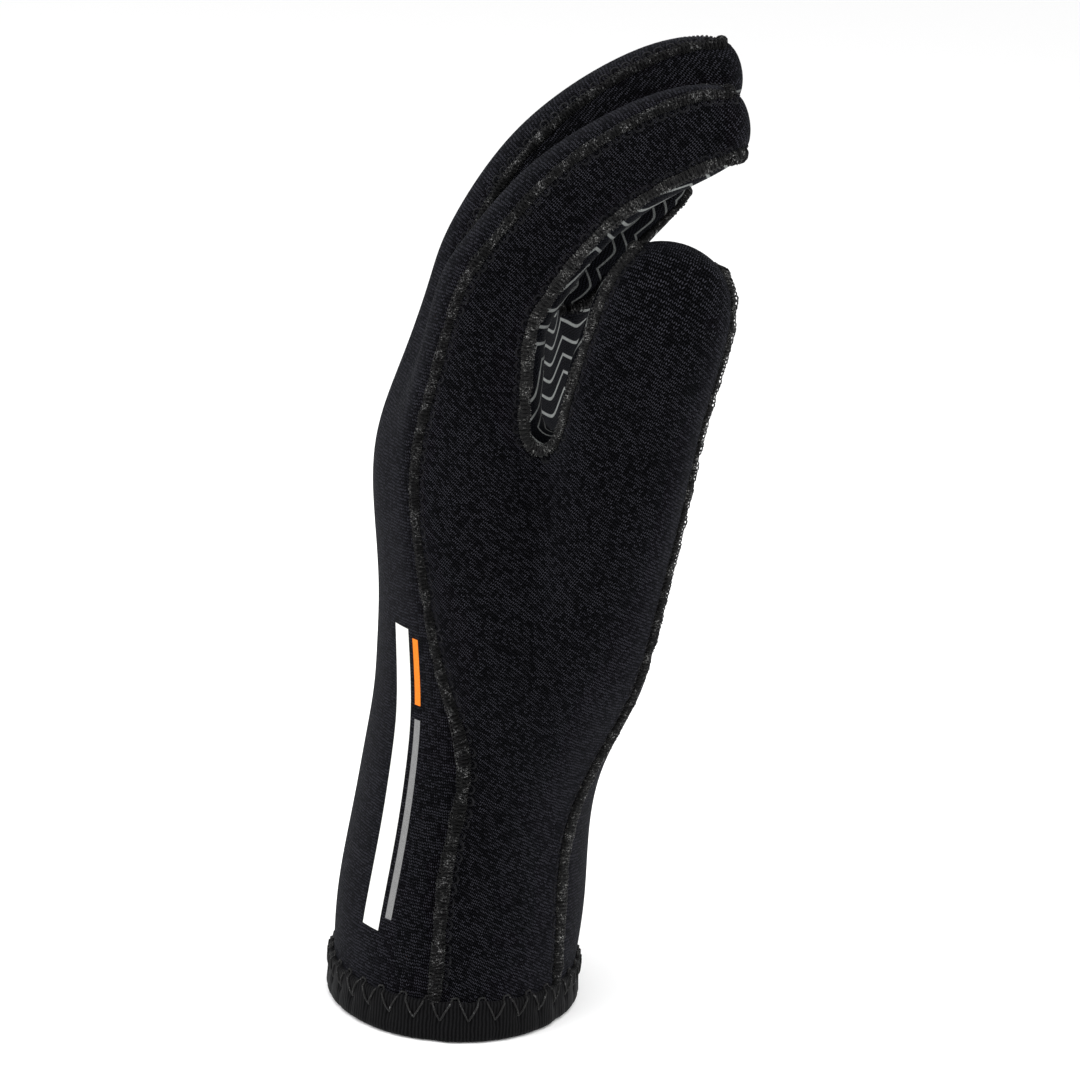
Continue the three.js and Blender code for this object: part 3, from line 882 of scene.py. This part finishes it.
def panel_piece(panel):
    """One panel, cut out along its seams, laid flat for its pattern and given its wall."""
    piece = cut_out(panel)
    lay_flat(piece, math.radians(KNIT_ASKEW.get(panel, 0)))
    facing = piece.data.attributes.new(THUMB_SIDE, "FLOAT", "POINT")
    facing.data.foreach_set("value", [-vert.normal.y for vert in piece.data.vertices])
    piece.data.materials.append(panel_paint(panel, piece))
    piece.data.materials.append(NEOPRENE)
    apply_modifier(
        piece, "SOLIDIFY", "wall", thickness=WALL, offset=-1, material_offset=1, material_offset_rim=1
    )
    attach(piece, "root")
    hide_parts(*PANEL_NODES[panel])


for panel in PANELS:
    panel_piece(panel)


# Small shapes: threads as tubes, and copies of shapes that are modelled once
def round_steps(count):
    return [2 * math.pi * k / count for k in range(count)]


class Shapes:
    """Gathers many small shapes into one mesh."""

    def __init__(self):
        self.places, self.faces, self.paints = [], [], []

    def copy(self, model, placed):
        """Adds a copy of a modelled shape, with each of its points placed by the given function."""
        places, faces, paints = model
        first = len(self.places)
        self.places += [placed(place) for place in places]
        self.paints += [(len(self.faces) + number, paint) for number, paint in enumerate(paints) if paint]
        self.faces += [tuple(first + corner for corner in face) for face in faces]

    def tube(self, rings):
        """Adds a tube through rings of points, closed at both ends."""
        first = len(self.places)
        sides = len(rings[0])
        for ring in rings:
            self.places += ring
        for i in range(len(rings) - 1):
            for j in range(sides):
                a, b = first + i * sides + j, first + i * sides + (j + 1) % sides
                self.faces.append((a, b, b + sides, a + sides))
        self.faces.append(tuple(first + j for j in reversed(range(sides))))
        last = first + (len(rings) - 1) * sides
        self.faces.append(tuple(last + j for j in range(sides)))

    def thread(self, points, radius, sides=4):
        """Adds a thread along points: each ring of it stands across the thread's way."""
        rings = []
        last = len(points) - 1
        side = None
        for i, point in enumerate(points):
            way = (points[min(i + 1, last)] - points[max(i - 1, 0)]).normalized()
            if side is None:
                side = way.orthogonal().normalized()
            side = (side - way * side.dot(way)).normalized()
            other = way.cross(side)
            rings.append([
                point + (side * math.cos(t) + other * math.sin(t)) * radius for t in round_steps(sides)
            ])
        self.tube(rings)

    def piece(self, name, slot, *materials):
        data = bpy.data.meshes.new(name)
        data.from_pydata(self.places, [], self.faces)
        data.shade_smooth()
        for material in materials:
            data.materials.append(material)
        for number, paint in self.paints:
            data.polygons[number].material_index = paint
        obj = add_object(name, data)
        outward(obj)
        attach(obj, "root")


def take_model(is_hole=None):
    """The points, faces and paint numbers of the shape just modelled, which is then removed."""
    model = bpy.context.object
    places = [vert.co.copy() for vert in model.data.vertices]
    faces = [tuple(polygon.vertices) for polygon in model.data.polygons]
    paints = [1 if is_hole and is_hole(polygon) else 0 for polygon in model.data.polygons]
    bpy.data.objects.remove(model)
    return places, faces, paints


# The thread beads along the seams: a lumpy core, and turns of thread over it
chance = random.Random(7)
BEAD_HALF = 1.05 * MM
BEAD_RISE = 0.8 * MM
BEAD_LIFT = 0.35 * MM
BEAD_END = 0.3 * MM
BEADS_ABOVE = 9.5 * MM
BEAD_LUMP = 0.3
LUMP_SIZE = 3.2 * MM
WIDE_BEAD = 1.3
CUFF_BEAD = 1.35
CUFF_WIDE_BELOW = 75 * MM
CUFF_WIDE_ABOVE = 105 * MM
CORE_STEP = 0.9 * MM
CORE_SIDES = 8
CORE_WOBBLE = 0.2
THREAD_RADIUS = 0.17 * MM
STITCH_STEP = 1.0 * MM
STITCH_BENDS = 5
FIRST_SLANT = 0.55 * MM
SECOND_SLANT = -0.35 * MM


def is_wide(line):
    """The side and palm panels' seam is the widest on the hand, and has the palest thread."""
    return set(line.panels) == {"side", "palm"}


def bead_width(line, point):
    """A share of the usual bead. Every seam widens to the cuff."""
    hand = WIDE_BEAD if is_wide(line) else 1.0
    share = (CUFF_WIDE_ABOVE - point.z) / (CUFF_WIDE_ABOVE - CUFF_WIDE_BELOW)
    lump = 1 + BEAD_LUMP * noise.noise(point / LUMP_SIZE)
    return lump * (hand + (CUFF_BEAD - hand) * max(0.0, min(1.0, share)))


def bead_core(shapes, line):
    rings = []
    steps = max(2, round(line.length / CORE_STEP))
    for i in range(steps + 1):
        point, along, across, normal = line.at(line.length * i / steps)
        if point.z < BEADS_ABOVE:
            continue
        size = bead_width(line, point) * (1 + CORE_WOBBLE * chance.uniform(-1, 1))
        middle = point + normal * BEAD_LIFT
        out, up = across * BEAD_HALF * size, normal * BEAD_RISE * size
        rings.append([middle + up * math.sin(t) + out * math.cos(t) for t in round_steps(CORE_SIDES)])
    shapes.tube(rings)


def model_stitch():
    """One turn of thread over the bead: a small ring spun half round from foot to foot."""
    deselect_all()
    bpy.ops.mesh.primitive_circle_add(vertices=4, radius=THREAD_RADIUS, location=(0, 0, 0))
    bpy.ops.object.mode_set(mode="EDIT")
    bpy.ops.mesh.select_all(action="SELECT")
    bpy.ops.transform.translate(value=(BEAD_HALF + THREAD_RADIUS, 0, 0))
    bpy.ops.mesh.spin(steps=STITCH_BENDS, angle=math.pi, center=(0, 0, 0), axis=(0, 1, 0))
    bpy.ops.mesh.select_all(action="SELECT")
    bpy.ops.mesh.fill_holes(sides=4)
    bpy.ops.object.mode_set(mode="OBJECT")
    return take_model()


STITCH = model_stitch()


def bead_stitch(shapes, line, distance, slant):
    point, along, across, normal = line.at(distance)
    if point.z < BEADS_ABOVE:
        return
    width = bead_width(line, point)
    reach = width * chance.uniform(0.97, 1.1)
    rise = BEAD_RISE / BEAD_HALF * width * chance.uniform(1.03, 1.22)
    thickness = chance.uniform(0.85, 1.2)

    def placed(place):
        forward = place.y * thickness + slant * place.x / BEAD_HALF
        return point + across * place.x * reach + along * forward + normal * (BEAD_LIFT + place.z * rise)

    shapes.copy(STITCH, placed)


def bead_piece(number, line):
    shapes = Shapes()
    bead_core(shapes, line)
    distance = BEAD_END
    while distance < line.length - BEAD_END:
        bead_stitch(shapes, line, distance, FIRST_SLANT)
        bead_stitch(shapes, line, distance + STITCH_STEP / 2, SECOND_SLANT)
        distance += STITCH_STEP * chance.uniform(0.9, 1.1)
    thread = PALE_THREAD if is_wide(line) else BEAD_THREAD
    shapes.piece(f"seam_{number}_{line.panels[0]}_{line.panels[1]}", "neoprene", thread)


# The needle pits beside the beads. Rings of a pit, from its foot over its lip into the hole: radius
# and height in millimetres.
PIT_RINGS = ((1.25, -0.08), (1.0, 0.12), (0.78, 0.08), (0.5, -0.25))
HOLE_RING = 2
PIT_SIDES = 10
PIT_STRETCH = 1.1
PIT_STEP = 3.0 * MM
PIT_OFFSET = 0.75 * MM
PITS_ABOVE = 13 * MM
PIT_SEARCH = 4 * MM


def model_pit():
    """One pit, from its foot over the lip and down: a disc, raised and narrowed ring by ring."""
    deselect_all()
    radius, height = PIT_RINGS[0]
    bpy.ops.mesh.primitive_circle_add(
        vertices=PIT_SIDES, radius=radius * MM, fill_type="NGON", location=(0, 0, 0)
    )
    bpy.ops.object.mode_set(mode="EDIT")
    bpy.ops.mesh.select_all(action="SELECT")
    bpy.ops.transform.translate(value=(0, 0, height * MM))
    for next_radius, next_height in PIT_RINGS[1:]:
        bpy.ops.mesh.extrude_region_move(
            TRANSFORM_OT_translate={"value": (0, 0, (next_height - height) * MM)}
        )
        share = next_radius / radius
        bpy.ops.transform.resize(value=(share, share, 1), center_override=(0, 0, next_height * MM))
        radius, height = next_radius, next_height
    bpy.ops.object.mode_set(mode="OBJECT")
    hole_radius = PIT_RINGS[HOLE_RING][0] * MM

    # The faces in the hole take the second paint, near black: painted shade in the needle hole
    def is_hole(polygon):
        return polygon.normal.z > 0 and math.hypot(*polygon.center[:2]) < hole_radius * 0.95

    return take_model(is_hole)


PIT = model_pit()


def pits_piece():
    """Small hollows with a raised lip, where the needle thread goes into the cloth; the middle of each is
    painted near black as painted shade in the needle hole.
    """
    shapes = Shapes()
    for line in lines:
        distance = PIT_STEP / 2
        while distance < line.length - PIT_STEP / 3:
            point, along, across, normal = line.at(distance)
            side = across if line.panels[0] == "back" else -across
            reach = PIT_OFFSET + BEAD_HALF * bead_width(line, point)
            start = point + side * reach + normal * MM
            hit, middle, facing, face = skin.ray_cast(start, -normal, distance=PIT_SEARCH)
            distance += PIT_STEP * chance.uniform(0.93, 1.07)
            if hit and middle.z > PITS_ABOVE:
                size = chance.uniform(0.85, 1.12)
                long, wide = along * PIT_STRETCH * size, along.cross(facing).normalized() * size
                shapes.copy(
                    PIT, lambda place: middle + long * place.x + wide * place.y + facing * place.z
                )
    shapes.piece("needle_pits", "neoprene", PIT_LIP, PIT_HOLE_SHADE)


# The knot of thread at the tip of the index finger
KNOT_PLACE = Vector((43, -39, 224.6)) * MM
KNOT_RADIUS = 1.7 * MM
KNOT_TURNS = 16
TURN_POINTS = 8


def knot_piece():
    shapes = Shapes()
    hit, middle, facing, face = skin.closest_point_on_mesh(KNOT_PLACE)
    middle = middle + facing * KNOT_RADIUS * 0.6
    for turn in range(KNOT_TURNS):
        axis = Vector([chance.uniform(-1, 1) for k in range(3)]).normalized()
        start = axis.orthogonal().normalized()
        other = axis.cross(start)
        size = KNOT_RADIUS * chance.uniform(0.55, 1.05)
        points = []
        for k in range(TURN_POINTS):
            t = chance.uniform(3.5, 5.5) * k / (TURN_POINTS - 1)
            points.append(
                middle
                + (start * math.cos(t) + other * math.sin(t)) * size
                + axis * chance.uniform(-0.3, 0.3) * MM
            )
        shapes.thread(points, THREAD_RADIUS * 1.2)
    shapes.piece("seam_knot", "neoprene", BEAD_THREAD)


for number, line in enumerate(lines):
    bead_piece(number, line)
pits_piece()
knot_piece()


# The binding round the cuff's edge: a folded tape, and the zigzag stitches that hold it. Heights
# and lifts off the cloth are in millimetres.
BINDING_TOP = 10.5
BINDING_LIFT = 1.3
TAPE_STEP = 0.5 * MM
TAPE_MODEL_RADIUS = 40 * MM
SAG_DEPTH = 0.22
SAG_FOOT = 7
HEM_PITCH = 6.8 * MM
HEM_TOP = 11.3
HEM_FOOT = 5.6
HEM_STEP = 0.6 * MM
HEM_RADIUS = 0.24 * MM
PULL_DEPTH = 0.75
PULL_WIDTH = 1.0
PULL_HEIGHT = 1.3
FOLD_DEPTH = 0.22
FOLD_WIDTH = 0.9
CUFF_ANGLES = 720
CUFF_REACH = 14 * MM
CUFF_RING = 8 * MM
TANGENT_TURN = 0.02


def cuff_profile():
    """Rows round the tape's section: height, and how far out from the cloth's outer face."""
    top = [(10.1, -0.3), (10.45, 0.35), (10.5, 0.8), (10.2, 1.15)]
    outer = [(9.7 - 0.75 * k, BINDING_LIFT) for k in range(12)]
    rounded = [(0.9, 1.15), (0.4, 0.85), (0.1, 0.4)]
    rim = [(0.0, -0.2), (0.0, -1.5), (0.0, -2.8)]
    inner_foot = [(0.1, -3.4), (0.4, -3.85), (0.9, -4.15)]
    inner = [(height, -4.3) for height in (2.5, 5.0, 7.5, 9.7)]
    inner_top = [(10.2, -4.15), (10.5, -3.8), (10.1, -2.7)]
    return top + outer + rounded + rim + inner_foot + inner + inner_top


class CuffEdge:
    """The cloth's outer face near the cuff's edge, by distance round it and height."""

    def __init__(self):
        low = [vert.co for vert in skin.data.vertices if vert.co.z < CUFF_REACH]
        self.floor = min(place.z for place in low) + 0.3 * MM
        self.centre = sum(low, Vector()) / len(low)
        angles = [2 * math.pi * k / CUFF_ANGLES for k in range(CUFF_ANGLES + 1)]
        ring = [self.hit(angle, CUFF_RING) for angle in angles]
        self.reach = [0.0]
        for one, two in zip(ring, ring[1:]):
            self.reach.append(self.reach[-1] + (two - one).length)
        self.length = self.reach[-1]
        self.stitches = round(self.length / HEM_PITCH)
        self.pitch = self.length / self.stitches

    def hit(self, angle, height):
        start = Vector((self.centre.x, self.centre.y, max(height, self.floor)))
        found, place, facing, face = skin.ray_cast(start, Vector((math.cos(angle), math.sin(angle), 0)))
        return Vector((place.x, place.y, height))

    def angle(self, distance):
        distance %= self.length
        k = min(bisect.bisect_right(self.reach, distance) - 1, CUFF_ANGLES - 1)
        share = (distance - self.reach[k]) / (self.reach[k + 1] - self.reach[k])
        return 2 * math.pi * (k + share) / CUFF_ANGLES

    def place(self, distance, height, lift):
        angle = self.angle(distance)
        turns = (-TANGENT_TURN, 0.0, TANGENT_TURN)
        before, here, after = (self.hit(angle + turn, height * MM) for turn in turns)
        way = after - before
        return here + Vector((way.y, -way.x, 0)).normalized() * lift * MM

    def pucker(self, distance, height):
        """How much the stitches' feet pull the tape in, in millimetres."""
        across = ((distance / self.pitch + 0.5) % 1 - 0.5) * self.pitch / MM
        foot = math.exp(-((across / PULL_WIDTH) ** 2) - ((height - HEM_FOOT) / PULL_HEIGHT) ** 2)
        fold = math.exp(-((across / FOLD_WIDTH) ** 2)) * max(0.0, min(1.0, (HEM_FOOT - height) / 3))
        return PULL_DEPTH * foot + FOLD_DEPTH * fold

    def tape_lift(self, distance, height):
        """How far the tape's face stands off the cloth, with its rounded top edge."""
        edge = max(0.0, min(1.0, (BINDING_TOP + 0.3 - height) / 0.9))
        return BINDING_LIFT * edge * edge * (3 - 2 * edge) - self.pucker(distance, height)


def model_tape(rows, count):
    """A plain tube: a ring of points, drawn up one millimetre for each row and closed by a bridge."""
    deselect_all()
    bpy.ops.mesh.primitive_circle_add(vertices=count, radius=TAPE_MODEL_RADIUS, location=(0, 0, 0))
    bpy.ops.object.mode_set(mode="EDIT")
    bpy.ops.mesh.select_all(action="SELECT")
    for row in range(rows - 1):
        bpy.ops.mesh.extrude_edges_move(TRANSFORM_OT_translate={"value": (0, 0, MM)})
    bpy.ops.mesh.select_all(action="DESELECT")
    bpy.ops.mesh.select_mode(type="EDGE")
    bpy.ops.mesh.select_non_manifold()
    bpy.ops.mesh.bridge_edge_loops()
    bpy.ops.object.mode_set(mode="OBJECT")
    return bpy.context.object


def form_tape(data, edge, rows, count):
    """Lays each row of the plain tube where the tape's section says: each point's column and row."""
    spots = []
    for vert in data.vertices:
        column = round(math.atan2(vert.co.y, vert.co.x) / (2 * math.pi) * count) % count
        row = round(vert.co.z / MM)
        spots.append((column, row))
        distance = edge.length * column / count
        height, lift = rows[row]
        sag = SAG_DEPTH * math.cos(2 * math.pi * edge.stitches * column / count)
        sag *= max(0.0, (height - SAG_FOOT) / (BINDING_TOP - SAG_FOOT))
        pull = edge.pucker(distance, height) if lift > 0.5 else 0.0
        vert.co = edge.place(distance, height - sag, lift - pull)
    return spots


def lay_tape_flat(data, edge, rows, count, spots):
    """The tape's pattern: the distance round the cuff, and the distance round the section."""
    along = [0.0]
    for one, two in zip(rows, rows[1:] + rows[:1]):
        along.append(along[-1] + math.dist(one, two) * MM)
    layer = data.uv_layers.new(name="cloth").data
    for polygon in data.polygons:
        columns = [spots[corner][0] for corner in polygon.vertices]
        heights = [spots[corner][1] for corner in polygon.vertices]
        for loop, column, row in zip(polygon.loop_indices, columns, heights):
            if column == 0 and max(columns) == count - 1:
                column = count
            if row == 0 and max(heights) == len(rows) - 1:
                row = len(rows)
            layer[loop].uv = (edge.length * column / count, along[row])


def binding_piece(edge):
    rows = cuff_profile()
    count = round(edge.length / TAPE_STEP)
    tape = model_tape(len(rows), count)
    tape.name = "cuff_tape"
    spots = form_tape(tape.data, edge, rows, count)
    lay_tape_flat(tape.data, edge, rows, count, spots)
    tape.data.shade_smooth()
    tape.data.materials.append(TAPE)
    outward(tape)
    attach(tape, "root")
    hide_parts("cuff_binding")


def hem_piece(edge):
    shapes = Shapes()
    over = HEM_RADIUS / MM * 0.7
    for k in range(edge.stitches):
        foot = k * edge.pitch
        corners = (
            (foot, HEM_FOOT),
            (foot + edge.pitch / 2 - HEM_STEP, HEM_TOP),
            (foot + edge.pitch / 2 + HEM_STEP, HEM_TOP + 0.1),
            (foot + edge.pitch, HEM_FOOT),
        )
        for (start, low), (end, high) in zip(corners, corners[1:]):
            steps = 8 if abs(high - low) > 1 else 2
            points = []
            for i in range(steps + 1):
                t = i / steps
                distance, height = start + (end - start) * t, low + (high - low) * t
                lift = edge.tape_lift(distance, height) + over + 0.1 * math.sin(math.pi * t)
                points.append(edge.place(distance, height, lift))
            shapes.thread(points, HEM_RADIUS * chance.uniform(0.9, 1.1), 6)
    shapes.piece("hem_stitches", "binding_tape", HEM_THREAD)


cuff_edge = CuffEdge()
binding_piece(cuff_edge)
hem_piece(cuff_edge)
bpy.data.objects.remove(skin)
